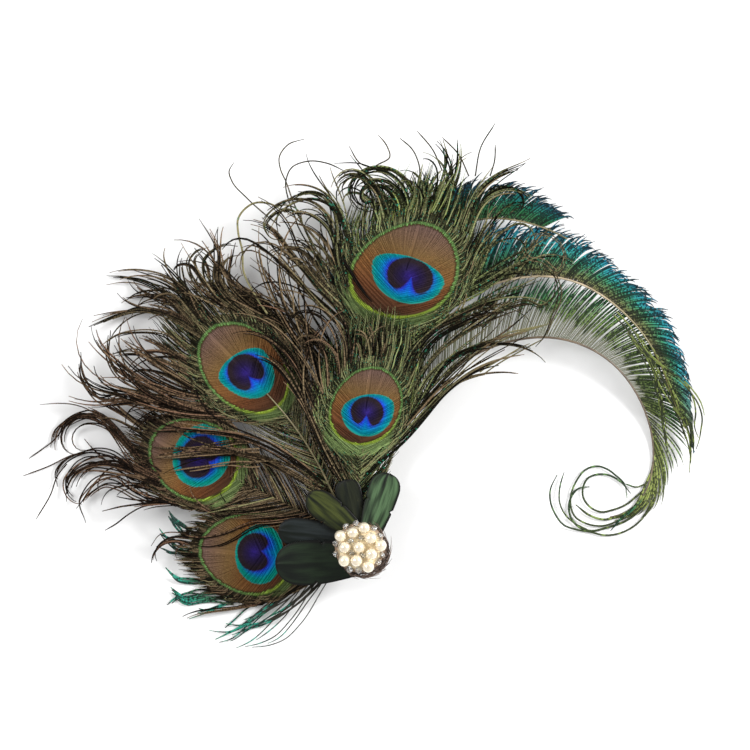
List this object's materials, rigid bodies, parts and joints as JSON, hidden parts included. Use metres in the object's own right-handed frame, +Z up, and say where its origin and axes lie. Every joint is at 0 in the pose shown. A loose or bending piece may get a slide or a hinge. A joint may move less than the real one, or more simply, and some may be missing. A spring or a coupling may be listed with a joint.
{
  "type": "peacock feather hair clip",
  "caption": "Hair clip with a fan of eyed and one-sided curling peacock feathers, dark pad feathers and a pearl cluster brooch over the quills, on a sprung clip.",
  "frame": {"origin": "centre of the clip's flat underside, below the middle of the brooch", "axes": "the clip lies on its back: +Z up towards the brooch, +Y along the clip into the fan, +X towards the long curled feather"},
  "size_m": [0.2479, 0.19, 0.0258],
  "materials": {
    "clip_steel": "plated spring steel",
    "sword_barbs": "iridescent green to blue barbs on a pale quill",
    "eye_barbs": "olive brown barbs with a blue, copper and green eye",
    "pad_vane": "satin dark green vane",
    "down": "matt brown down",
    "setting_cream": "cream base with small clear beads",
    "pearl": "pearl lustre"
  },
  "bodies": {
    "root": {"hair_clip": "clip_steel", "sword_feather_long": "sword_barbs", "sword_feather_middle": "sword_barbs", "sword_feather_upper": "sword_barbs", "sword_feather_short": "sword_barbs", "eye_feather_top": "eye_barbs", "eye_feather_upper_left": "eye_barbs", "eye_feather_centre": "eye_barbs", "eye_feather_left": "eye_barbs", "eye_feather_lower_left": "eye_barbs", "pad_feather_1": "pad_vane", "pad_feather_2": "pad_vane", "pad_feather_3": "pad_vane", "pad_feather_4": "pad_vane", "pad_feather_5": "pad_vane", "base_down": "down", "brooch_setting": "setting_cream", "pearl_01": "pearl", "pearl_02": "pearl", "pearl_03": "pearl", "pearl_04": "pearl", "pearl_05": "pearl", "pearl_06": "pearl", "pearl_07": "pearl", "pearl_08": "pearl", "pearl_09": "pearl", "pearl_10": "pearl", "pearl_11": "pearl"}
  },
  "joints": []
}
